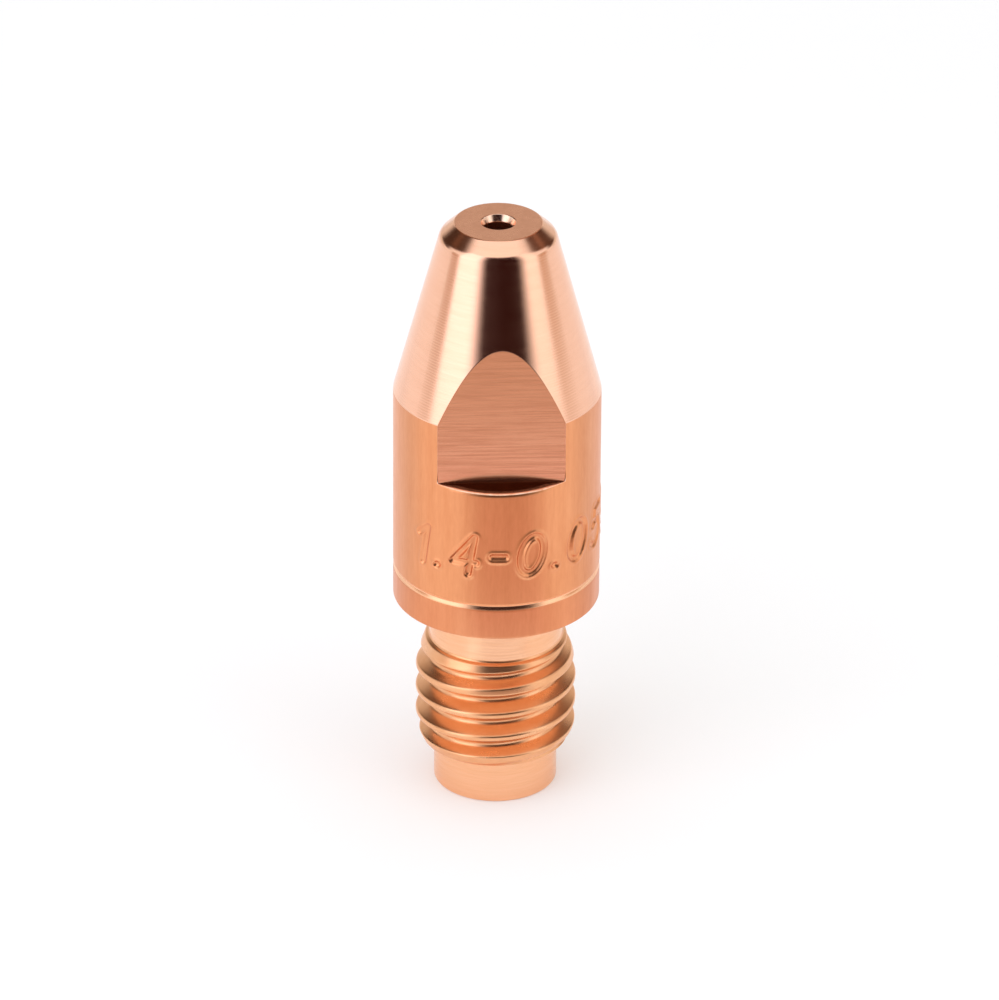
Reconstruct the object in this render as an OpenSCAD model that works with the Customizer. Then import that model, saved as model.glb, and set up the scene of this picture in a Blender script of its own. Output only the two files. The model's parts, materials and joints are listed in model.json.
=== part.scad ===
// Welding contact tip: one piece turned from copper bar, threaded at one end,
// with two wrench flats, a tapered nose and a wire bore right through.
// It stands on its pilot end, and its axis is Z.

/* [Body] */
// Diameter of the bar that the tip is turned from
body_d = 10; // [9.4:0.1:14]
// Straight length of the body, from the shoulder to the foot of the nose
body_l = 11.05; // [9:0.05:16]
// Radius of the edge round the shoulder
shoulder_edge_r = 0.1; // [0.05:0.01:0.3]
// Height of the ring groove's lower lip above the shoulder
groove_h = 1.56; // [0.6:0.02:4]
// Height of the groove's lower flank, the one that faces up
groove_lower_flank = 0.26; // [0.1:0.02:0.5]
// Height of the groove's upper flank
groove_upper_flank = 0.1; // [0.06:0.02:0.4]
// Depth of the ring groove
groove_depth = 0.14; // [0.05:0.01:0.3]

/* [Wrench flats] */
// Distance across the two flats
flats_across = 7.9; // [7:0.1:9]
// Height of the ledge under the flats, above the shoulder
ledge_h = 7.85; // [5:0.05:9]
// Radius of the corner that the milling cutter leaves on the ledge
ledge_corner_r = 0.08; // [0.05:0.01:0.5]

/* [Nose] */
// Length of the tapered nose with its front chamfer
nose_l = 8.8; // [6:0.1:14]
// Diameter of the flat front face
front_face_d = 4.2; // [3:0.1:5]
// Size of the 45 degree chamfer round the front face
front_chamfer = 0.65; // [0.2:0.05:1]

/* [Wire bore] */
// Diameter of the bore, for the wire and its clearance
bore_d = 1.4; // [0.8:0.05:2]
// Diameter of the lead-in cone at the pilot end
lead_in_d = 3; // [2.4:0.1:4.5]
// Full angle of the lead-in cone
lead_in_angle = 60; // [40:5:90]

/* [Neck and thread] */
// Diameter of the plain neck under the shoulder
neck_d = 6.5; // [6:0.1:6.8]
// Length of the neck
neck_l = 2.25; // [1:0.05:4]
// Nominal diameter of the thread
thread_d = 8; // [7.6:0.1:8.6]
// Pitch of the right-hand thread
thread_pitch = 1.25; // [1:0.05:1.5]
// How far the crests lie under the nominal diameter
crest_under = 0.15; // [0:0.01:0.3]
// Length of the threaded stretch
thread_l = 5.75; // [4:0.05:10]
// Angle from +X at which a crest leaves the lower end of the thread
thread_start = 90; // [0:1:360]
// Diameter of the thread's lower end face
thread_end_d = 7; // [6.6:0.1:7.4]
// Length over which the lower crests round off
lower_runout_l = 1.45; // [0.6:0.05:2.5]
// Diameter that the upper crests fall off to, before a steep flank drops to the neck
thread_top_d = 6.9; // [6.6:0.1:7.4]
// Length over which the upper crests fall off
upper_runout_l = 2.2; // [0.8:0.05:3]

/* [Pilot] */
// Diameter of the plain pilot that enters the holder first
pilot_d = 6; // [5.2:0.1:6.4]
// Length of the pilot
pilot_l = 2.15; // [1:0.05:4]
// Radius of the pilot's lower edge
pilot_edge_r = 0.15; // [0.05:0.05:0.5]

/* [Hidden] */
$fn = 96;
copper = [0.85, 0.55, 0.39];

// Heights of the steps along the axis
thread_z = pilot_l;
neck_z = thread_z + thread_l;
shoulder_z = neck_z + neck_l;
groove_z = shoulder_z + groove_h;
ledge_z = shoulder_z + ledge_h;
nose_z = shoulder_z + body_l;
top_z = nose_z + nose_l;

body_r = body_d / 2;
neck_r = neck_d / 2;
pilot_r = pilot_d / 2;
flat_r = flats_across / 2;
front_r = front_face_d / 2;

// Metric form: 60 degree flanks, crest and root rounded tangent to them
flank_angle = 60;
depth_per_pitch = 0.61343;
crest_r_per_pitch = 1 / 8;
major_r = (thread_d - crest_under) / 2;
minor_r = thread_d / 2 - depth_per_pitch * thread_pitch;
crest_r = crest_r_per_pitch * thread_pitch;
root_r = thread_pitch / 2 * tan(flank_angle) - (major_r - minor_r) - crest_r;

// Facets round the thread, and points on each rounded crest and root
columns = 48;
arc_step = 20;
// Facets round a full circle of the ledge's corner
corner_facets = 24;
// Least height of the facets at the thread's ends
facet_min = 0.03;
// How far the thread reaches into the neck, and the pilot into the thread
overlap = 0.2;
// How far the thread's upper end lies inside the neck's wall
neck_inset = 0.07;
thread_top_z = neck_z + overlap;
rim_z = neck_z - facet_min;
// Cutters pass the faces that they open by this much
past = 1;
// Corner cutters pass their own corner by this much
nick = 0.01;

// Axial places of the profile's points over one pitch, from the crest
profile_s = concat(
    [for (a = [-flank_angle : arc_step : flank_angle]) crest_r * sin(a)],
    [for (a = [flank_angle : -arc_step : -flank_angle]) thread_pitch / 2 - root_r * sin(a)]
);
rows = len(profile_s);

// Distance along the axis from the nearest crest, at height z and angle a
function from_crest(z, a) =
    let (turns = (z - thread_z) / thread_pitch - (a - thread_start) / 360)
    abs(turns - round(turns)) * thread_pitch;

// Radius of the thread form at a distance s from its crest
function form_r(s) =
    let (to_root = thread_pitch / 2 - s)
    s <= crest_r * sin(flank_angle) ? major_r - crest_r + sqrt(pow(crest_r, 2) - pow(s, 2)) :
    to_root <= root_r * sin(flank_angle) ? minor_r + root_r - sqrt(pow(root_r, 2) - pow(to_root, 2)) :
    major_r - crest_r * (1 - cos(flank_angle)) - (s - crest_r * sin(flank_angle)) * tan(flank_angle);

// Radius that a run-out leaves at a height h above its small end: a quarter sine up to the crests
function rise_r(h, small_r, length) =
    small_r + (major_r - small_r) * sin(90 * min(1, max(0, h / length)));

// Radius that the run-outs at both ends of the thread and the flank up to the neck leave at height z
function runout_r(z) = min(
    rise_r(z - thread_z, thread_end_d / 2, lower_runout_l),
    rise_r(neck_z - z, thread_top_d / 2, upper_runout_l),
    neck_r - neck_inset + max(0, neck_z - z) * tan(flank_angle)
);

function thread_point(z, a) =
    let (r = min(form_r(from_crest(z, a)), runout_r(z)))
    [r * cos(a), r * sin(a), z];

// Height of row i in column j: rows climb with the helix
function row_z(i, j) =
    let (turn = floor(i / rows))
    thread_z + thread_pitch * (turn + j / columns - thread_start / 360) + profile_s[i - turn * rows];

// Rows of column j that lie between the thread's lower end and its rim under the neck
function rows_inside(j) = [
    for (i = [-2 * rows : rows * ceil(thread_l / thread_pitch + 2)])
        if (row_z(i, j) > thread_z + facet_min && row_z(i, j) < rim_z - facet_min) i
];

// Bar with shoulder edge, ring groove, tapered nose and neck, in one profile
module turned_profile() {
    groove_deep_z = groove_z + groove_lower_flank;
    difference() {
        polygon([
            [0, neck_z],
            [neck_r, neck_z],
            [neck_r, shoulder_z],
            [body_r, shoulder_z],
            [body_r, groove_z],
            [body_r - groove_depth, groove_deep_z],
            [body_r, groove_deep_z + groove_upper_flank],
            [body_r, nose_z],
            [front_r + front_chamfer, top_z - front_chamfer],
            [front_r, top_z],
            [0, top_z]
        ]);
        lower_edge(body_r, shoulder_z, shoulder_edge_r);
    }
}

// Cutter that rounds the lower outer edge of a profile at radius r and height z
module lower_edge(r, z, edge_r) {
    translate([r - edge_r, z + edge_r]) difference() {
        translate([0, -edge_r - nick]) square(edge_r + nick);
        circle(edge_r);
    }
}

// Plain pilot with its rounded lower edge
module pilot() {
    rotate_extrude() difference() {
        square([pilot_r, thread_z + overlap]);
        lower_edge(pilot_r, 0, pilot_edge_r);
    }
}

// One closed skin: columns of points from the lower end face up, row by row on the helix,
// to the rim under the neck and the upper end face inside it
module thread() {
    inside = [for (j = [0 : columns]) rows_inside(j)];
    first = [for (j = [0 : columns]) inside[j][0]];
    last = [for (j = [0 : columns]) inside[j][len(inside[j]) - 1]];
    start = [for (j = 0, s = 0; j < columns; s = s + len(inside[j]) + 3, j = j + 1) s];
    points = [
        for (j = [0 : columns - 1])
            let (a = 360 * j / columns)
            for (z = concat([thread_z], [for (i = inside[j]) row_z(i, j)], [rim_z, thread_top_z]))
                thread_point(z, a)
    ];
    // Number of column j's point at the lower end, in row i, on the rim and at the upper end
    function low(j) = start[j % columns];
    function at(j, i) = low(j) + 1 + i - first[j];
    function rim(j) = at(j, last[j]) + 1;
    function top(j) = rim(j) + 1;

    skin = [
        for (j = [0 : columns - 1])
            let (k = j + 1)
            each concat(
                [[low(j), at(j, first[j]), at(k, first[j])]],
                [for (i = [first[j] : -1 : first[k] + 1]) [low(j), at(k, i), at(k, i - 1)]],
                [[low(j), at(k, first[k]), low(k)]],
                [for (i = [first[j] : last[k] - 1]) [at(j, i), at(j, i + 1), at(k, i + 1)]],
                [for (i = [first[j] : last[k] - 1]) [at(j, i), at(k, i + 1), at(k, i)]],
                [[rim(k), at(k, last[k]), at(j, last[k])]],
                [for (i = [last[k] : 1 : last[j] - 1]) [rim(k), at(j, i), at(j, i + 1)]],
                [[rim(k), at(j, last[j]), rim(j)]],
                [[rim(j), top(j), top(k)], [rim(j), top(k), rim(k)]]
            )
    ];
    lower_end = [for (j = [0 : columns - 1]) low(j)];
    upper_end = [for (j = [columns - 1 : -1 : 0]) top(j)];
    polyhedron(points, concat(skin, [lower_end, upper_end]), convexity = 8);
}

// Milled flat on the +Y side, open at the nose, with the cutter's round corner on its ledge
module flat_cut() {
    up = top_z + past - ledge_z;
    out = body_r + past - flat_r;
    rotate([90, 0, 90]) linear_extrude(body_d + 2 * past, center = true) translate([flat_r, ledge_z]) {
        translate([ledge_corner_r, 0]) square([out - ledge_corner_r, up]);
        translate([0, ledge_corner_r]) square([out, up - ledge_corner_r]);
        translate([ledge_corner_r, ledge_corner_r]) circle(ledge_corner_r, $fn = corner_facets);
    }
}

// Straight bore with its lead-in cone at the pilot end
module wire_bore() {
    cone_l = (lead_in_d - bore_d) / 2 / tan(lead_in_angle / 2);
    widen = past * tan(lead_in_angle / 2);
    translate([0, 0, -past]) cylinder(h = top_z + 2 * past, d = bore_d);
    translate([0, 0, -past]) cylinder(h = cone_l + past, r1 = lead_in_d / 2 + widen, r2 = bore_d / 2);
}

module contact_tip() {
    color(copper) difference() {
        union() {
            rotate_extrude() turned_profile();
            thread();
            pilot();
        }
        for (side = [0, 180]) rotate([0, 0, side]) flat_cut();
        wire_bore();
    }
}

contact_tip();
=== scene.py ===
import json
import bpy
import numpy as np
from mathutils import Matrix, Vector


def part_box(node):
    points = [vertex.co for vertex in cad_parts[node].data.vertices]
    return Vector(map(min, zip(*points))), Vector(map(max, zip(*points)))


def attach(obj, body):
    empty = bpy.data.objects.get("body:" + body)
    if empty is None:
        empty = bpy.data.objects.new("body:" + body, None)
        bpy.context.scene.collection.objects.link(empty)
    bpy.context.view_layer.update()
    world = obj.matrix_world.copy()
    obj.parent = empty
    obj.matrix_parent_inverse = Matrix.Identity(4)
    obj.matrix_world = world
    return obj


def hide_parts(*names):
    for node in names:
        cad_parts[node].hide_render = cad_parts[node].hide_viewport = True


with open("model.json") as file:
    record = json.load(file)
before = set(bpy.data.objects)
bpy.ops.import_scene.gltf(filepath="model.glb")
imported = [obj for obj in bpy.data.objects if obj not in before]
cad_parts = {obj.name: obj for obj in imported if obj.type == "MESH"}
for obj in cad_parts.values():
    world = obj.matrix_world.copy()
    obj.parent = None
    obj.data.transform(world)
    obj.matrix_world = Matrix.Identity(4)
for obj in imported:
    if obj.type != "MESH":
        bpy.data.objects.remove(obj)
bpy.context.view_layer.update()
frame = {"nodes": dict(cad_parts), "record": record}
mm = 0.001
micrometre = 0.001 * mm
fullTurn = 2 * np.pi
print("frame loaded:", sorted(frame["nodes"]))

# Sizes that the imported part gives, in millimetres
tipLow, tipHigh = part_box("contact_tip")
mounts = {m["name"]: m for m in frame["record"]["mounts"]}
bodyR = round(tipHigh.x / mm, 3)
topZ = round(tipHigh.z / mm, 3)
boreR = mounts["wire_bore"]["dims"]["r_mm"]
leadInDepth = topZ - mounts["wire_bore"]["dims"]["length_mm"]
pilotR = mounts["pilot"]["dims"]["r_mm"]
crestR = mounts["shank_thread"]["dims"]["r_mm"]
threadLength = mounts["shank_thread"]["dims"]["length_mm"]
shoulderZ = mounts["shoulder"]["pos_m"][2] / mm
flatR = -mounts["flat_front"]["pos_m"][1] / mm
flatCos = flatR / bodyR  # cosine of the angle from a flat's middle to its edges


# A row of the meridian: radius and height, one pair for each column
def ring(r, z, columns):
    return np.stack(np.broadcast_arrays(r, z, np.zeros(len(columns)))[:2], axis=-1).astype(float)


# Unit steps from one row of points towards another
def towards(fromRow, toRow):
    step = toRow - fromRow
    return step / np.linalg.norm(step, axis=-1, keepdims=True)


# How much farther out than a corner's curve one more row lies on each leg, to keep the legs straight
legRow = 1.3


# A corner rounded by a quadratic curve, (1-s)^2 a + 2s(1-s) corner + s^2 b, where a and b lie
# on the two legs at cut from the corner
def eased(before, corner, after, cut, steps=3):
    cut = np.broadcast_to(cut, len(corner))[:, None]
    legIn = cut * towards(corner, before)
    legOut = cut * towards(corner, after)
    s = np.linspace(0, 1, steps + 2)[:, None, None]
    curve = (1 - s) ** 2 * (corner + legIn) + 2 * s * (1 - s) * corner + s ** 2 * (corner + legOut)
    return np.concatenate([[corner + legRow * legIn], curve, [corner + legRow * legOut]])


# Rows spread evenly between two rows, the two left out
def between(a, b, count):
    s = np.linspace(0, 1, count + 2)[1:-1, None, None]
    return (1 - s) * a + s * b


# Collects rows with the finish of the band above each row; with two finishes, each takes half the rows
class Meridian:
    def __init__(self):
        self.rows, self.finishes = [], []

    def add(self, rows, finish, later=None):
        rows = rows if rows.ndim == 3 else rows[None]
        half = len(rows) // 2 if later else len(rows)
        self.rows.append(rows)
        self.finishes += [finish] * half + [later] * (len(rows) - half)

    def done(self):
        return np.concatenate(self.rows), np.array(self.finishes)


# Size number struck into the bar, in plain strokes: foot is its baseline above the shoulder, start the
# bearing of its left end, and lipAt the lip's place outside the stroke, in widths of soft
sizeMark = {
    "text": "1.4-0.055", "foot": 3.5, "cap": 1.95, "start": -53, "lean": 0.16, "gap": 0.7,
    "halfStroke": 0.14, "soft": 0.07, "depth": 0.1, "lip": 0.032, "lipWidth": 0.08, "lipAt": 1.4,
}


# Points on part of an ellipse between two angles in degrees
def bend(cx, cy, rx, ry, start, end, count=14):
    a = np.radians(np.linspace(start, end, count))
    return np.stack([cx + rx * np.cos(a), cy + ry * np.sin(a)], axis=-1)


# Width of each sign and its strokes, in units of the cap height; before each stroke stand how deep
# it is struck and how soft it is against the rest
def signStrokes():
    return {
        "0": (0.58, [(1.0, 1.0, bend(0.29, 0.5, 0.29, 0.5, 0, 360, count=25))]),
        "1": (0.26, [(0.7, 1.0, np.array([[0.0, 0.78], [0.24, 1.0], [0.24, 0.0]]))]),
        "4": (0.6, [(1.1, 1.0, np.array([[0.45, 0.0], [0.45, 1.0], [0.0, 0.3], [0.6, 0.3]]))]),
        "5": (0.56, [(0.9, 1.0, np.concatenate([[[0.54, 1.0], [0.12, 1.0], [0.06, 0.55]],
                                                bend(0.26, 0.32, 0.29, 0.32, 128, -140)]))]),
        "-": (0.36, [(1.0, 1.3, np.array([[0.03, 0.48], [0.33, 0.48]]))]),
        ".": (0.1, [(1.0, 1.0, np.array([[0.04, 0.05], [0.07, 0.05]]))]),
    }


# All strokes as segments x0 y0 x1 y1 in millimetres along the bar's surface and above the foot,
# and how deep and how soft each is
def markSegments(mark):
    signs, x, segments, strikes = signStrokes(), np.radians(mark["start"]) * bodyR, [], []
    for sign in mark["text"]:
        width, strokes = signs[sign]
        for depth, spread, line in strokes:
            p = line * mark["cap"]
            p = p + np.stack([x + mark["lean"] * p[:, 1], 0 * p[:, 1]], axis=-1)
            segments.append(np.concatenate([p[:-1], p[1:]], axis=-1))
            strikes.append(np.tile([depth, spread], (len(p) - 1, 1)))
        x += width * mark["cap"] + mark["gap"]
    return np.concatenate(segments), np.concatenate(strikes)


# Distance of every grid point from the nearest stroke, then a struck trough with raised lips:
# minus depth inside the stroke, fading over soft, plus a bell-shaped lip just outside it
def markRelief(mark, segments, strikes, angles, heights):
    u, v = np.meshgrid(angles * bodyR, heights - shoulderZ - mark["foot"])
    p = np.stack([u, v], axis=-1)[:, :, None]
    a, b = segments[:, :2], segments[:, 2:]
    t = np.clip(((p - a) * (b - a)).sum(-1) / ((b - a) ** 2).sum(-1), 0, 1)
    distances = np.linalg.norm(p - a - t[..., None] * (b - a), axis=-1)
    d, nearest = distances.min(-1), strikes[distances.argmin(-1)]
    struck, soft = nearest[..., 0], mark["soft"] * nearest[..., 1]
    inside = np.clip((mark["halfStroke"] + soft - d) / (2 * soft), 0, 1)
    trough = inside * inside * (3 - 2 * inside)
    lip = np.exp(-((d - mark["halfStroke"] - mark["lipAt"] * soft) / mark["lipWidth"]) ** 2)
    return struck * (mark["lip"] * lip - mark["depth"] * trough)


# Bar, flats and nose, measured up from the shoulder in millimetres
barAndNose = {
    "shoulderEdge": 0.1, "stitchR": 3.6, "straight": 11.05,
    # ring groove
    "grooveFoot": 1.56, "lowerFlank": 0.2, "upperFlank": 0.1, "grooveDepth": 0.085,
    "grooveEdge": 0.11, "grooveRoot": 0.04,
    # ledge, and the rows beside it on the bar's wall, in ledge rims
    "ledge": 7.96, "ledgeSlope": 0.14, "ledgeCorner": 0.006, "ledgeRim": 0.16, "rimShare": 0.3,
    "runShares": (0, 0.35, 0.65, 0.88), "turnShares": (0, 0.2, 0.4, 0.6, 0.8, 1),
    "wallStep": 0.2, "wallGuard": 4, "wallFlatFoot": 6, "guardLift": 0.01,
    # front
    "faceR": 2.09, "chamfer": 0.63, "chamferRun": 0.71, "chamferFoot": 0.2, "faceEdge": 0.05,
    "edge": 0.06, "boreRim": 0.04, "mouth": 0.33, "mouthFlare": 0.15, "boreFoot": 3.0,
    # columns in degrees, and rows across the size mark
    "coarseStep": 2.5, "fineStep": 0.5, "fineMargin": 4, "coarseGap": 1, "flatEase": 0.45,
    "markMargin": 0.45, "rowStep": 0.046,
}


# Column angles from the front flat: coarse steps, fine steps across the size mark, and five
# columns round each edge of the flats, from which the free columns stay half a fine step away
def barColumns(piece, segments):
    reach = np.degrees(np.array([segments[:, 0::2].min(), segments[:, 0::2].max()]) / bodyR)
    low, high = reach[0] - piece["fineMargin"], reach[1] + piece["fineMargin"]
    coarse = np.arange(-180, 180, piece["coarseStep"])
    fine = np.arange(low, high, piece["fineStep"])
    outside = (coarse < low - piece["coarseGap"]) | (coarse > high + piece["coarseGap"])
    free = np.concatenate([coarse[outside], fine])
    edge = np.degrees(np.arccos(flatCos))
    edges = np.array([edge - 180, -edge, edge, 180 - edge])
    placed = (edges[:, None] + piece["flatEase"] * np.arange(-2, 3)).ravel()
    gap = np.abs(free[:, None] - placed).min(axis=1)
    angles = np.sort(np.concatenate([free[gap > piece["fineStep"] / 2], placed]))
    return np.radians(angles), np.isin(angles, edges)


# Radius and height at a distance s along ledge and corner: straight in from the bar's wall and up
# by the slope, then a quarter circle up into the flat; y is the distance from the axis square to the
# flat, and c the cosine of the column's angle
def ledgePoint(piece, c, s):
    ledgeZ, corner = shoulderZ + piece["ledge"], piece["ledgeCorner"]
    cornerY = flatR + corner
    run = np.maximum(0, bodyR * c - cornerY)
    firstTurn = np.arcsin(np.clip((cornerY - bodyR * c) / corner, 0, 1))
    turn = firstTurn + np.maximum(0, s - run) / corner
    y = np.where(s < run, bodyR * c - s, cornerY - corner * np.sin(turn))
    slopeZ = ledgeZ - piece["ledgeSlope"] * (y - cornerY)
    turnZ = ledgeZ + corner * (1 - np.cos(turn))
    z = np.where(s < run, slopeZ, turnZ)
    return np.stack([y / c, z], axis=-1), run, run + corner * (np.pi / 2 - firstTurn)


# Rows from the shoulder up the bar, over the nose and down into the bore: plain rings, with every
# corner eased; where a flat crosses a column, the radius is flatR over the cosine of its angle, and
# the flat ends where that radius meets the straight taper
def barRows(piece, angles, onEdge, segments, strikes):
    line = Meridian()
    hair = 1e-6
    c = np.abs(np.cos(angles))
    cut = c > flatCos + hair  # columns that a flat crosses
    c = np.where(cut, c, flatCos)
    crossed = cut[:, None]
    grooveZ = shoulderZ + piece["grooveFoot"]
    noseZ = shoulderZ + piece["straight"]
    coneEndR, coneEndZ = piece["faceR"] + piece["chamferRun"], topZ - piece["chamfer"]
    taper = (bodyR - coneEndR) / (coneEndZ - noseZ)

    stitch = ring(piece["stitchR"], shoulderZ, angles)
    shoulderEdge = ring(bodyR, shoulderZ, angles)
    grooveFoot = ring(bodyR, grooveZ, angles)
    grooveDeep = ring(bodyR - piece["grooveDepth"], grooveZ + piece["lowerFlank"], angles)
    grooveTop = ring(bodyR, grooveZ + piece["lowerFlank"] + piece["upperFlank"], angles)
    wall = ring(bodyR, shoulderZ + piece["ledge"] - 1, angles)  # on the wall under the ledge
    line.add(stitch, "shank")
    line.add(eased(stitch, shoulderEdge, grooveFoot, piece["shoulderEdge"], steps=4), "shank", "shadedCollar")
    line.add(eased(shoulderEdge, grooveFoot, grooveDeep, piece["grooveEdge"]), "shadedCollar", "shank")
    line.add(eased(grooveFoot, grooveDeep, grooveTop, piece["grooveRoot"]), "shank")
    line.add(eased(grooveDeep, grooveTop, wall, piece["grooveRoot"]), "shank", "bar")

    low = sizeMark["foot"] - piece["markMargin"]
    high = sizeMark["foot"] + sizeMark["cap"] + piece["markMargin"]
    heights = shoulderZ + np.arange(low, high, piece["rowStep"])
    relief = markRelief(sizeMark, segments, strikes, angles, heights)
    line.add(np.stack([bodyR + relief, np.broadcast_to(heights[:, None], relief.shape)], axis=-1), "bar")

    # Ledge: its worn rim, whose pale finish is painted highlight, then its run and the cutter's corner,
    # whose dark finish is painted shade; columns beside the flats stay on the wall
    rimSize = piece["ledgeRim"]
    wallFootZ = shoulderZ + piece["ledge"] + piece["ledgeCorner"]
    start, run, length = ledgePoint(piece, c, np.zeros(len(c)))
    rimCut = np.where(cut, np.minimum(rimSize, piece["rimShare"] * length), rimSize)
    rim = np.where(crossed, start, ring(bodyR, wallFootZ, angles))
    rimEnd = 2 * rimCut
    inward = np.where(crossed, ledgePoint(piece, c, rimEnd)[0], rim + [0, 1])
    # the rim's rows take the pale rim finish, a painted highlight
    line.add(eased(wall, rim, inward, rimCut), "bar", "rim")
    turnStart = np.maximum(run, rimEnd)
    along = [rimEnd + (turnStart - rimEnd) * share for share in piece["runShares"]]
    along += [turnStart + (length - turnStart) * share for share in piece["turnShares"]]
    for step, s in enumerate(along):
        onWall = rim + [0, (legRow + piece["wallStep"] + piece["wallStep"] * step) * rimSize]
        line.add(np.where(crossed, ledgePoint(piece, c, s)[0], onWall), "ledge")
    guard = ledgePoint(piece, c, length)[0] + [0, piece["guardLift"]]
    line.add(np.where(crossed, guard, rim + [0, piece["wallGuard"] * rimSize]), "flat")

    # Flat up to the curve where it meets the taper
    flatEdgeR = flatR / c
    flatTop = ring(flatEdgeR, noseZ + (bodyR - flatEdgeR) / taper, angles)
    flatFoot = ring(flatEdgeR, wallFootZ + piece["wallFlatFoot"] * rimSize, angles)
    coneEnd = ring(coneEndR, coneEndZ, angles)
    flatRows = np.concatenate([[flatFoot], between(flatFoot, flatTop, count=2)])
    drop = bodyR * np.radians(piece["flatEase"]) * np.sin(np.arccos(flatCos) / 2) / 2
    flatRows[:, onEdge, 0] -= drop  # eases the upright edges of the flats
    line.add(flatRows, "flat")
    line.add(eased(flatFoot, flatTop, coneEnd, piece["edge"]), "flat", "nose")

    faceEdge = ring(piece["faceR"], topZ, angles)
    mouthTop = ring(boreR + piece["mouthFlare"], topZ, angles)
    mouthFoot = ring(boreR, topZ - piece["mouth"], angles)
    boreFoot = ring(boreR, topZ - piece["boreFoot"], angles)
    line.add(eased(flatTop, coneEnd, faceEdge, piece["chamferFoot"], steps=5), "nose")
    line.add(eased(coneEnd, faceEdge, mouthTop, piece["faceEdge"]), "nose", "face")
    line.add(eased(faceEdge, mouthTop, mouthFoot, piece["boreRim"]), "face", "mouth")
    line.add(eased(mouthTop, mouthFoot, boreFoot, piece["boreRim"]), "mouth", "bore")
    line.add(boreFoot, "bore")
    return line.done()


# Shank: neck, thread, pilot and lead-in, measured up from the pilot's end in millimetres
shank = {
    "columns": 144, "pilotL": 2.15, "pilotEdge": 0.15, "pilotCorner": 0.025, "leadInR": 1.5, "edge": 0.05,
    # thread: firstRow and neckFoot are how far its first row and the neck's lie above its two ends
    "pitch": 1.25, "startAngle": 90, "flankAngle": 60, "minorR": 3.233, "crestRound": 0.18, "endR": 3.5,
    "topR": 3.4, "lowerRunout": 1.45, "upperRunout": 2.2, "blend": 0.06, "rowStep": 0.036, "firstRow": 0.2,
    "neckFoot": 0.1, "neckR": 3.25, "neckFillet": 0.06, "boreTop": 26.6, "stitchR": 3.45,
}


# Smaller of two radii with a soft change-over of width k: the straight mix minus k h (1 - h)
def softMin(a, b, k):
    h = np.clip(0.5 + 0.5 * (b - a) / k, 0, 1)
    return b * (1 - h) + a * h - k * h * (1 - h)


# Thread radius at angle a in degrees from +X and height z: straight flanks between a rounded
# crest and root, by the distance s to the nearest crest of the helix; quarter sines of the height
# round off the crests at both ends, and a steep flank drops from the upper end to the neck
def threadRadius(piece, a, z):
    pitch, flank = piece["pitch"], np.radians(piece["flankAngle"])
    crestRound, depth = piece["crestRound"], crestR - piece["minorR"]
    rootRound = pitch / 2 * np.tan(flank) - depth - crestRound
    neckZ = piece["pilotL"] + threadLength
    turns = (z - piece["pilotL"]) / pitch - (a - piece["startAngle"]) / 360
    s = np.abs(turns - np.round(turns)) * pitch
    toRoot = pitch / 2 - s
    crest = crestR - crestRound + np.sqrt(np.maximum(0, crestRound ** 2 - s ** 2))
    root = piece["minorR"] + rootRound - np.sqrt(np.maximum(0, rootRound ** 2 - toRoot ** 2))
    sideStart = crestRound * np.sin(flank)
    side = crestR - crestRound * (1 - np.cos(flank)) - (s - sideStart) * np.tan(flank)
    form = np.where(s <= sideStart, crest, np.where(toRoot <= rootRound * np.sin(flank), root, side))
    up = np.clip((z - piece["pilotL"]) / piece["lowerRunout"], 0, 1)
    down = np.clip((neckZ - z) / piece["upperRunout"], 0, 1)
    lower = piece["endR"] + (crestR - piece["endR"]) * np.sin(np.pi / 2 * up)
    upper = piece["topR"] + (crestR - piece["topR"]) * np.sin(np.pi / 2 * down)
    drop = piece["neckR"] + np.maximum(0, neckZ - z) * np.tan(flank)
    ends = softMin(lower, softMin(upper, drop, piece["blend"]), piece["blend"])
    return softMin(form, ends, piece["blend"])


# Rows from the bore down the lead-in, round the pilot's end and up pilot, thread and neck to the
# shoulder: plain rings with eased corners, and level rows of the thread's radius between them
def shankRows(piece, angles):
    line = Meridian()
    a = np.degrees(angles) - 90  # the columns count from -Y, the thread from +X
    threadZ, neckZ = piece["pilotL"], piece["pilotL"] + threadLength
    boreTop = ring(boreR, piece["boreTop"], angles)
    leadInTop = ring(boreR, leadInDepth, angles)
    leadInFoot = ring(piece["leadInR"], 0, angles)
    pilotEdge = ring(pilotR, 0, angles)
    pilotTop = ring(pilotR, threadZ, angles)
    firstZ = threadZ + piece["firstRow"]
    threadFoot = ring(threadRadius(piece, a, threadZ), threadZ, angles)
    threadFirst = ring(threadRadius(piece, a, firstZ), firstZ, angles)
    line.add(boreTop, "bore")
    line.add(eased(boreTop, leadInTop, leadInFoot, piece["edge"]), "bore", "shank")
    line.add(eased(leadInTop, leadInFoot, pilotEdge, piece["edge"]), "shank")
    line.add(eased(leadInFoot, pilotEdge, pilotTop, piece["pilotEdge"], steps=4), "shank")
    line.add(eased(pilotEdge, pilotTop, threadFoot, piece["pilotCorner"]), "shank")
    line.add(eased(pilotTop, threadFoot, threadFirst, piece["edge"]), "shank", "thread")
    z = np.arange(firstZ, neckZ, piece["rowStep"])[:, None]
    r = threadRadius(piece, a, z)
    line.add(np.stack(np.broadcast_arrays(r, z), axis=-1), "thread")

    neckFoot = ring(piece["neckR"], neckZ + piece["neckFoot"], angles)
    neckTop = ring(piece["neckR"], shoulderZ, angles)
    stitch = ring(piece["stitchR"], shoulderZ, angles)
    line.add(neckFoot, "shank")
    line.add(eased(neckFoot, neckTop, stitch, piece["neckFillet"]), "shank")
    line.add(stitch, "shank")
    return line.done()


# Radius, height and column angle to x, y, z: the columns count from -Y towards +X
def toSpace(rows, angles):
    r, z = rows[..., 0], rows[..., 1]
    return np.stack([r * np.sin(angles), -r * np.cos(angles), z], axis=-1).reshape(-1, 3)


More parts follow.
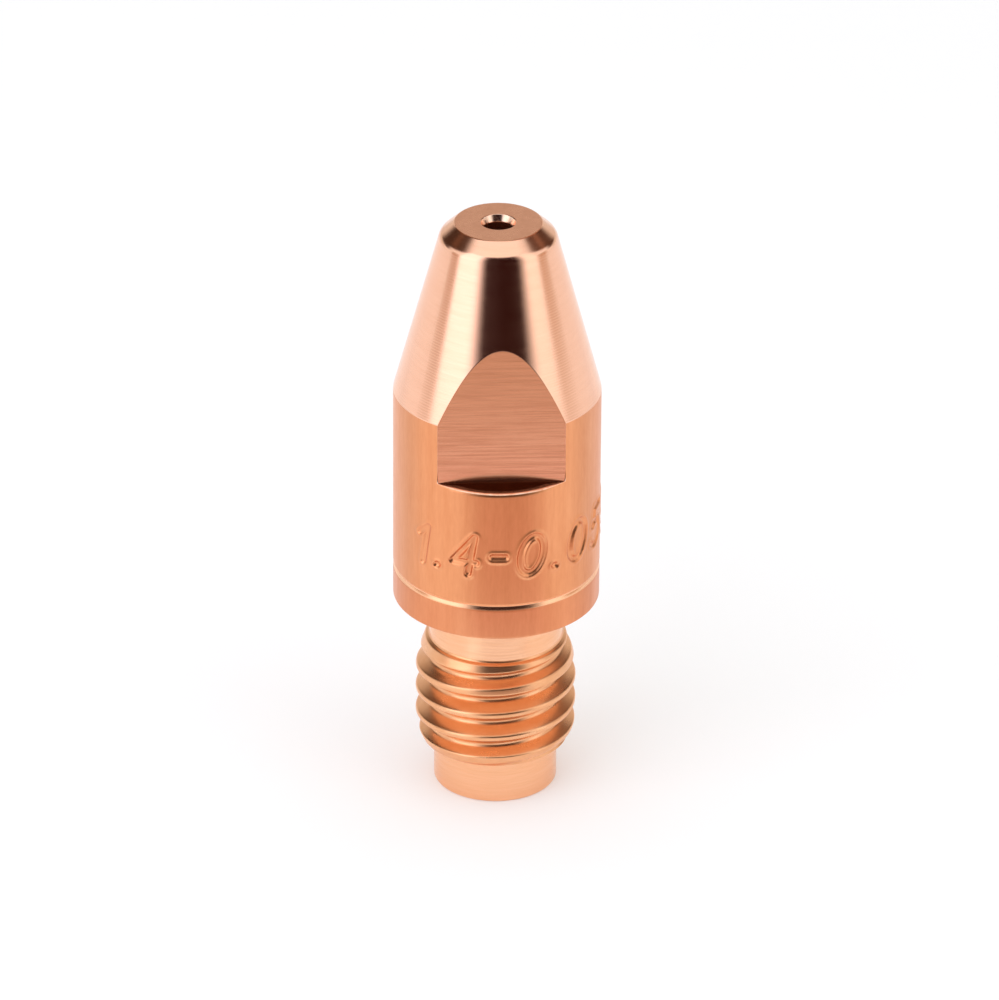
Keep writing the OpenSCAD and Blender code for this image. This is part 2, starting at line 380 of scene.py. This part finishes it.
# Quads of a grid that closes round the axis
def gridQuads(ids):
    along = np.roll(ids, -1, axis=1)
    return np.stack([ids[:-1], along[:-1], along[1:], ids[1:]], axis=-1).reshape(-1, 4)


# Angle of the column after each one, a full turn on for the last
def nextAngles(angles):
    return np.append(angles[1:], angles[0] + fullTurn)


# Triangles between two rings of unlike columns: every edge of one ring takes the last point of
# the other ring before that edge ends
def stitchRings(anglesA, idsA, anglesB, idsB):
    longA, longB = np.append(anglesA, anglesA + fullTurn), np.append(anglesB, anglesB + fullTurn)
    tipB = idsB[(np.searchsorted(longB, nextAngles(anglesA), "left") - 1) % len(idsB)]
    tipA = idsA[(np.searchsorted(longA, nextAngles(anglesB), "right") - 1) % len(idsA)]
    return np.concatenate([np.stack([idsA, np.roll(idsA, -1), tipB], axis=-1),
                           np.stack([tipA, np.roll(idsB, -1), idsB], axis=-1)])


# Sets up a node, with each socket linked or given its value
def addNode(tree, kind, sockets=None, **settings):
    node = tree.nodes.new(kind)
    for name, value in settings.items():
        setattr(node, name, value)
    for name, value in (sockets or {}).items():
        if isinstance(value, bpy.types.NodeSocket):
            tree.links.new(value, node.inputs[name])
        else:
            node.inputs[name].default_value = value
    return node


# An empty node material and its tree
def newMaterial(name):
    material = bpy.data.materials.new(name)
    material.use_nodes = True
    material.node_tree.nodes.clear()
    return material, material.node_tree


# Copper finishes: colour and shade are the light and dark of the grain, and grain lists how often
# it changes per millimetre along x, y and z, with each layer's weight; swing is the part of the noise
# that goes from shade to colour, rough the range of roughness, and relief the grain's height in
# micrometres; lines, where a cutter left them, is their pitch in millimetres
copperFinishes = {
    "bar": {"colour": (0.88, 0.375, 0.178), "shade": (0.78, 0.30, 0.13), "rough": (0.28, 0.37),
            "grain": [((2.2, 2.2, 0.14), 0.45), ((8.0, 8.0, 1.6), 0.3), ((0.3, 0.3, 0.2), 0.25)],
            "swing": (0.36, 0.64), "relief": 0.8},
    "nose": {"colour": (0.97, 0.56, 0.39), "shade": (0.95, 0.53, 0.36), "rough": (0.14, 0.19),
             "grain": [((0.3, 0.3, 6.0), 0.6), ((0.9, 0.9, 22.0), 0.4)],
             "swing": (0.36, 0.64), "relief": 0.25, "lines": 0.13, "lineRelief": 0.4},
    "flat": {"colour": (0.97, 0.51, 0.33), "shade": (0.78, 0.37, 0.22), "rough": (0.19, 0.26),
             "grain": [((0.2, 0.2, 9.0), 0.5), ((0.5, 0.5, 24.0), 0.4), ((0.4, 0.4, 0.4), 0.1)],
             "swing": (0.34, 0.56), "relief": 1.4},
    # rim: pale cream copper, a painted highlight along the ledge's worn edge
    "rim": {"colour": (0.98, 0.66, 0.50), "shade": (0.90, 0.48, 0.31), "rough": (0.16, 0.24),
            "grain": [((4.0, 4.0, 4.0), 1.0)],
            "swing": (0.36, 0.6), "relief": 0.5},
    # ledge: copper painted far darker than the bar's, as painted shade on the ledge's run and the cutter's
    # corner
    "ledge": {"colour": (0.50, 0.16, 0.07), "shade": (0.36, 0.11, 0.045), "rough": (0.08, 0.12),
              "grain": [((3.0, 3.0, 3.0), 1.0)],
              "swing": (0.3, 0.7), "relief": 0.2},
    "face": {"colour": (0.72, 0.35, 0.215), "shade": (0.64, 0.30, 0.18), "rough": (0.24, 0.34),
             "grain": [((1.0, 1.0, 1.0), 0.65), ((4.0, 4.0, 4.0), 0.35)],
             "swing": (0.34, 0.66), "relief": 0.15},
    "shank": {"colour": (0.98, 0.55, 0.33), "shade": (0.94, 0.49, 0.27), "rough": (0.18, 0.26),
              "grain": [((0.3, 0.3, 5.0), 0.6), ((0.9, 0.9, 18.0), 0.4)],
              "swing": (0.36, 0.64), "relief": 0.4, "lines": 0.17, "lineRelief": 0.3},
    "thread": {"colour": (0.93, 0.50, 0.275), "shade": (0.85, 0.41, 0.195), "rough": (0.26, 0.32),
               "grain": [((0.5, 0.5, 2.0), 0.7), ((1.5, 1.5, 5.0), 0.3)],
               "swing": (0.34, 0.66), "relief": 0.2},
    # mouth: pale cream copper, a painted highlight on the flared mouth of the bore
    "mouth": {"colour": (0.98, 0.72, 0.57), "shade": (0.90, 0.56, 0.40), "rough": (0.16, 0.26),
              "grain": [((3.0, 3.0, 0.5), 1.0)],
              "swing": (0.36, 0.64), "relief": 0.3},
    "bore": {"colour": (0.80, 0.38, 0.22), "shade": (0.52, 0.21, 0.11), "rough": (0.25, 0.34),
             "grain": [((3.0, 3.0, 0.5), 1.0)],
             "swing": (0.3, 0.7), "relief": 1.0},
    # shaded collar: the bar's finish with darker colours, painted shade on the band between the shoulder and
    # the ring groove
    "shadedCollar": {"colour": (0.83, 0.325, 0.157), "shade": (0.73, 0.26, 0.115), "rough": (0.28, 0.37),
               "grain": [((2.2, 2.2, 0.14), 0.45), ((8.0, 8.0, 1.6), 0.3), ((0.3, 0.3, 0.2), 0.25)],
               "swing": (0.36, 0.64), "relief": 0.8},
}
grainNoise = {"Scale": 1.0, "Detail": 4.0, "Roughness": 0.6}
cutterWave = {"Distortion": 0.6, "Detail": 2.0, "Detail Scale": 0.8}


# Object coordinates times the given changes per millimetre along each axis
def scaledPlace(tree, place, perMillimetre):
    scale = [f / mm for f in perMillimetre]
    return addNode(tree, "ShaderNodeMapping", {"Vector": place, "Scale": scale}).outputs["Vector"]


# Value carried from one range to another
def ranged(tree, value, low, high, toLow=0.0, toHigh=1.0):
    return addNode(tree, "ShaderNodeMapRange", {"Value": value, "From Min": low, "From Max": high,
                                                "To Min": toLow, "To Max": toHigh}).outputs["Result"]


# Mix of two colours by a share; the node's colour sockets go by number, as their names repeat
def colourMix(tree, share, a, b):
    sockets = {"Factor": share, 6: (*a, 1), 7: (*b, 1)}
    return addNode(tree, "ShaderNodeMix", sockets, data_type="RGBA").outputs[2]


# Normal of a surface lifted by a height of so many micrometres, on top of another normal if given
def lifted(tree, height, relief, under=None):
    sockets = {"Height": height, "Strength": 1.0, "Distance": relief * micrometre}
    if under:
        sockets["Normal"] = under
    return addNode(tree, "ShaderNodeBump", sockets).outputs["Normal"]


# Metal whose grain is noise stretched along the way it was worked: the weighted sum of the layers
# mixes shade into colour, sets the roughness and lifts the surface, and a band wave adds the
# cutter's lines; a wave of scale s repeats every pi / 10s
def copperMaterial(name, finish):
    material, tree = newMaterial("copper_" + name)
    place = addNode(tree, "ShaderNodeTexCoord").outputs["Object"]
    grain = 0.0
    for perMillimetre, weight in finish["grain"]:
        sockets = {"Vector": scaledPlace(tree, place, perMillimetre), **grainNoise}
        layer = addNode(tree, "ShaderNodeTexNoise", sockets).outputs["Fac"]
        grain = addNode(tree, "ShaderNodeMath", {0: layer, 1: weight, 2: grain},
                        operation="MULTIPLY_ADD").outputs["Value"]
    share = ranged(tree, grain, *finish["swing"])
    tint = colourMix(tree, share, finish["shade"], finish["colour"])
    rough = ranged(tree, share, 1.0, 0.0, *finish["rough"])
    normal = lifted(tree, grain, finish["relief"])
    if "lines" in finish:
        sockets = {"Vector": scaledPlace(tree, place, (1, 1, 1)), "Scale": np.pi / 10 / finish["lines"]}
        lines = addNode(tree, "ShaderNodeTexWave", {**sockets, **cutterWave},
                        wave_type="BANDS", bands_direction="Z").outputs["Fac"]
        normal = lifted(tree, lines, finish["lineRelief"], under=normal)
    sockets = {"Base Color": tint, "Metallic": 1.0, "Roughness": rough, "Normal": normal}
    metal = addNode(tree, "ShaderNodeBsdfPrincipled", sockets).outputs["BSDF"]
    addNode(tree, "ShaderNodeOutputMaterial", {"Surface": metal})
    return material


# The whole tip as one closed skin: two grids of rows and columns, one for the shank and one for bar
# and nose, stitched under the shoulder and inside the bore; each band of faces takes its finish, and
# bands of the flats turn to plain bar between the two flats
def buildTip():
    segments, strikes = markSegments(sizeMark)
    barAngles, onEdge = barColumns(barAndNose, segments)
    shankAngles = np.linspace(-np.pi, np.pi, shank["columns"], endpoint=False)
    bar, barFinish = barRows(barAndNose, barAngles, onEdge, segments, strikes)
    low, lowFinish = shankRows(shank, shankAngles)
    points = np.concatenate([toSpace(low, shankAngles), toSpace(bar, barAngles)]) * mm
    lowCount, barCount = low.shape[:2], bar.shape[:2]
    lowIds = np.arange(np.prod(lowCount)).reshape(lowCount)
    barIds = lowIds.size + np.arange(np.prod(barCount)).reshape(barCount)
    underShoulder = stitchRings(shankAngles, lowIds[-1], barAngles, barIds[0])
    insideBore = stitchRings(barAngles, barIds[-1], shankAngles, lowIds[0])

    names = list(copperFinishes)
    middle = (barAngles + nextAngles(barAngles)) / 2
    inFlat = np.abs(np.cos(middle)) > flatCos
    bands = np.repeat(barFinish[:-1, None], barCount[1], axis=1)
    bands = np.where(np.isin(bands, ["flat", "ledge", "rim"]) & ~inFlat, "bar", bands)
    finish = np.concatenate([np.repeat(lowFinish[:-1], lowCount[1]), bands.ravel(),
                             np.full(len(underShoulder), "shank"), np.full(len(insideBore), "bore")])
    index = (finish[:, None] == np.array(names)).argmax(axis=1)

    faces = (gridQuads(lowIds).tolist() + gridQuads(barIds).tolist()
             + underShoulder.tolist() + insideBore.tolist())
    mesh = bpy.data.meshes.new("copper_tip")
    mesh.from_pydata(points.tolist(), [], faces)
    for name in names:
        mesh.materials.append(copperMaterial(name, copperFinishes[name]))
    mesh.polygons.foreach_set("material_index", index.astype(np.int32))
    mesh.shade_smooth()
    mesh.update()
    tip = bpy.data.objects.new("copper_tip", mesh)
    bpy.context.scene.collection.objects.link(tip)
    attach(tip, "root")
    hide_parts("contact_tip")
    print("tip:", len(points), "points,", len(faces), "faces")


# Camera of the photograph: the way it looks, its distance, focal length in pixels of a picture
# 999 wide, the height it looks at, how far that lies to the right of the axis, and its roll
photoView = {"azimuth": -3.2, "elevation": 27.845, "distance": 400, "focal": 8288.45, "pictureW": 999,
             "sensorW": 36, "aimZ": 15.08, "aimRight": 0.1363, "roll": 0.361}


# The camera's right, up and back directions, and level, which is its right before the roll: level and
# up turn about back by the roll
def viewAxes(view):
    a, e, roll = np.radians([view["azimuth"], view["elevation"], view["roll"]])
    level = np.array([np.cos(a), np.sin(a), 0])
    back = np.array([np.sin(a) * np.cos(e), -np.cos(a) * np.cos(e), np.sin(e)])
    up = np.cross(back, level)
    right = level * np.cos(roll) + up * np.sin(roll)
    return right, up * np.cos(roll) - level * np.sin(roll), back, level


# Camera at its distance back from the point it looks at; its lens is the focal length in pictures'
# widths times the sensor's width
def makeCamera(view):
    right, up, back, level = viewAxes(view)
    place = np.array([0, 0, view["aimZ"]]) + view["aimRight"] * level + view["distance"] * back
    data = bpy.data.cameras.new("camera")
    data.sensor_width = view["sensorW"]
    data.sensor_fit = "HORIZONTAL"
    data.lens = view["focal"] / view["pictureW"] * data.sensor_width
    camera = bpy.data.objects.new("camera", data)
    camera.matrix_world = Matrix(np.column_stack([right, up, back, place * mm]).tolist() + [[0, 0, 0, 1]])
    bpy.context.scene.collection.objects.link(camera)
    bpy.context.scene.camera = camera
    print("camera: lens", round(data.lens, 1))


# Floor and room: glow is what the floor gives by itself, tone its own colour, and fill the
# world's strength on matt surfaces; cardZ is the height that the cards stand round
studio = {"floorSize": 1600, "floorPoints": 9, "floorTone": 0.9, "floorGlow": 0.12, "fill": 0.86,
          "cardZ": 20, "cardPoints": 49}
white = (1, 1, 1, 1)


# Share of the ray kinds that see the room as it looks: camera, mirror and glass rays
def seenRays(tree):
    path = addNode(tree, "ShaderNodeLightPath").outputs
    some = addNode(tree, "ShaderNodeMath", {0: path["Is Camera Ray"], 1: path["Is Glossy Ray"]},
                   operation="MAXIMUM").outputs["Value"]
    return addNode(tree, "ShaderNodeMath", {0: some, 1: path["Is Transmission Ray"]},
                   operation="MAXIMUM").outputs["Value"]


# Even white room: strength 1 for the rays that see it, and fill for the light on matt surfaces
def makeWorld():
    world = bpy.data.worlds.new("room")
    world.use_nodes = True
    tree = world.node_tree
    tree.nodes.clear()
    strength = ranged(tree, seenRays(tree), 0.0, 1.0, studio["fill"], 1.0)
    light = addNode(tree, "ShaderNodeBackground", {"Color": white, "Strength": strength})
    addNode(tree, "ShaderNodeOutputWorld", {"Surface": light.outputs["Background"]})
    bpy.context.scene.world = world


# A flat square at height 0, whose glow shows only to the rays that see it
def makeFloor():
    material, tree = newMaterial("white_floor")
    tone = studio["floorTone"]
    matt = addNode(tree, "ShaderNodeBsdfDiffuse", {"Color": (tone, tone, tone, 1)}).outputs["BSDF"]
    strength = addNode(tree, "ShaderNodeMath", {0: seenRays(tree), 1: studio["floorGlow"]},
                       operation="MULTIPLY").outputs["Value"]
    glow = addNode(tree, "ShaderNodeEmission", {"Color": white, "Strength": strength}).outputs["Emission"]
    both = addNode(tree, "ShaderNodeAddShader", {0: matt, 1: glow}).outputs["Shader"]
    addNode(tree, "ShaderNodeOutputMaterial", {"Surface": both})
    side = np.linspace(-0.5, 0.5, studio["floorPoints"]) * studio["floorSize"] * mm
    u, v = np.meshgrid(side, side)
    addStage("floor", np.stack([u, v, 0 * u], axis=-1), material)


# A stage piece from a grid of points
def addStage(name, grid, material, fade=None):
    rows, columns = grid.shape[:2]
    ids = np.arange(rows * columns).reshape(rows, columns)
    quads = np.stack([ids[:-1, :-1], ids[:-1, 1:], ids[1:, 1:], ids[1:, :-1]], axis=-1).reshape(-1, 4)
    mesh = bpy.data.meshes.new(name)
    mesh.from_pydata(grid.reshape(-1, 3).tolist(), [], quads.tolist())
    if fade is not None:
        layer = mesh.attributes.new("fade", "FLOAT", "POINT")
        layer.data.foreach_set("value", fade.ravel().astype(np.float32))
    mesh.materials.append(material)
    piece = bpy.data.objects.new(name, mesh)
    bpy.context.scene.collection.objects.link(piece)
    return piece


# Rise from nothing at a card's border to one inside it: 3s^2 - 2s^3 of the distance from the nearer
# of its two edges, over the border's width
def softBorder(at, edges, width):
    s = np.clip(np.minimum(at - edges[0], edges[1] - at) / width, 0, 1)
    return s * s * (3 - 2 * s)


# A card that glows evenly and fades out to clear at its border
def cardMaterial(name, colour):
    material, tree = newMaterial(name)
    fade = addNode(tree, "ShaderNodeAttribute", attribute_name="fade").outputs["Fac"]
    clear = addNode(tree, "ShaderNodeBsdfTransparent").outputs["BSDF"]
    light = addNode(tree, "ShaderNodeEmission", {"Color": (*colour, 1), "Strength": 1.0}).outputs["Emission"]
    both = addNode(tree, "ShaderNodeMixShader", {0: fade, 1: clear, 2: light}).outputs["Shader"]
    addNode(tree, "ShaderNodeOutputMaterial", {"Surface": both})
    return material


# A card that shows only in the metal; one that lights the floor shows to matt surfaces too
def addCard(name, points, colour, fade, lightsFloor):
    piece = addStage(name, points * mm, cardMaterial(name, colour), fade)
    piece.visible_camera = False
    piece.visible_shadow = False
    piece.visible_diffuse = lightsFloor


# Even grid over two ranges, the first along the columns
def cardGrid(across, up):
    return np.meshgrid(np.linspace(*across, studio["cardPoints"]), np.linspace(*up, studio["cardPoints"]))


# Cards round the tip, seen in the metal: left and right edge and low and high edge in degrees
# from the camera's side, distance, width of the soft border in degrees, colour and brightness
cards = {
    "dark_front": {"az": (-41, 56), "el": (-14, 60), "far": 120, "soft": 22, "softEl": 10,
                   "colour": (0.02, 0.001, 0.0)},
    "soft_left": {"az": (-78, -10), "el": (-8, 60), "far": 300, "soft": 7, "softEl": 7,
                  "colour": (1.75, 1.75, 1.88)},
    "soft_right": {"az": (30, 80), "el": (-8, 60), "far": 300, "soft": 9, "softEl": 9,
                   "colour": (1.35, 1.35, 1.35)},
    "dark_left": {"az": (-150, -98), "el": (5, 42), "far": 150, "soft": 16, "softEl": 10,
                  "colour": (0.055, 0.027, 0.015)},
    "dark_right": {"az": (102, 148), "el": (5, 42), "far": 150, "soft": 16, "softEl": 10,
                   "colour": (0.09, 0.045, 0.028)},
    "near_left": {"az": (-120, -72), "el": (31, 60), "far": 148, "soft": 18, "softEl": 12,
                  "colour": (0.07, 0.035, 0.02)},
    "near_right": {"az": (78, 122), "el": (31, 60), "far": 148, "soft": 18, "softEl": 12,
                   "colour": (0.11, 0.055, 0.035)},
    "high_left": {"az": (-168, -84), "el": (24, 82), "far": 155, "soft": 18, "softEl": 10,
                  "colour": (0.19, 0.095, 0.055)},
    "high_right": {"az": (88, 168), "el": (24, 82), "far": 155, "soft": 18, "softEl": 10,
                   "colour": (0.38, 0.20, 0.13)},
    "dim_left": {"az": (-99, -72), "el": (-8, 20), "far": 140, "soft": 10, "softEl": 10,
                 "colour": (0.6, 0.45, 0.36)},
    "dim_right": {"az": (74, 104), "el": (-8, 20), "far": 140, "soft": 10, "softEl": 10,
                  "colour": (0.64, 0.47, 0.34)},
    "dim_back": {"az": (118, 242), "el": (-4, 70), "far": 310, "soft": 8, "softEl": 3,
                 "colour": (0.80, 0.76, 0.69)},
    "soft_top": {"az": (-80, 80), "el": (55, 89), "far": 320, "soft": 6, "softEl": 6,
                 "colour": (1.2, 1.2, 1.2)},
}


# Part of a ball round the tip, between two bearings and two heights; the cards brighter than white
# light the floor
def makeCard(name, card):
    az, el = cardGrid(card["az"], card["el"])
    a, e, r = np.radians(az + photoView["azimuth"]), np.radians(el), card["far"]
    x, y, z = r * np.cos(e) * np.sin(a), -r * np.cos(e) * np.cos(a), r * np.sin(e) + studio["cardZ"]
    fade = softBorder(az, card["az"], card["soft"]) * softBorder(el, card["el"], card["softEl"])
    addCard(name, np.stack([x, y, z], axis=-1), card["colour"], fade, max(card["colour"]) > 1)


# Cards that lie on the floor: left and right edge in degrees, near and far edge, height, soft
# borders and colour
floorCards = {
    "light_near": {"az": (-55, 55), "reach": (14.5, 22.5), "z": 0.05, "soft": 20, "softReach": 2,
                   "colour": (1.18, 1.42, 1.58)},
    "dim_front": {"az": (-38, 62), "reach": (21.4, 40), "z": 0.1, "soft": 24, "softReach": 2.5,
                  "colour": (0.76, 0.48, 0.45)},
    "dim_far": {"az": (-40, 48), "reach": (37.5, 130), "z": 0.15, "soft": 18, "softReach": 8,
                "colour": (0.62, 0.47, 0.38)},
    "dim_left_side": {"az": (-140, -80), "reach": (20, 100), "z": 0.05, "soft": 25, "softReach": 8,
                      "colour": (0.90, 0.94, 1.0)},
    "dim_right_side": {"az": (80, 140), "reach": (20, 100), "z": 0.05, "soft": 25, "softReach": 8,
                       "colour": (0.90, 0.94, 1.0)},
}


# Part of a flat ring on the floor, between two bearings and two distances
def makeFloorCard(name, card):
    az, r = cardGrid(card["az"], card["reach"])
    a = np.radians(az + photoView["azimuth"])
    fade = softBorder(az, card["az"], card["soft"]) * softBorder(r, card["reach"], card["softReach"])
    points = np.stack([r * np.sin(a), -r * np.cos(a), card["z"] + 0 * r], axis=-1)
    addCard(name, points, card["colour"], fade, lightsFloor=False)


buildTip()
makeCamera(photoView)
makeWorld()
makeFloor()
for name, card in cards.items():
    makeCard(name, card)
for name, card in floorCards.items():
    makeFloorCard(name, card)
print("studio:", len(cards) + len(floorCards), "cards")

bpy.context.scene.view_settings.view_transform = "Standard"
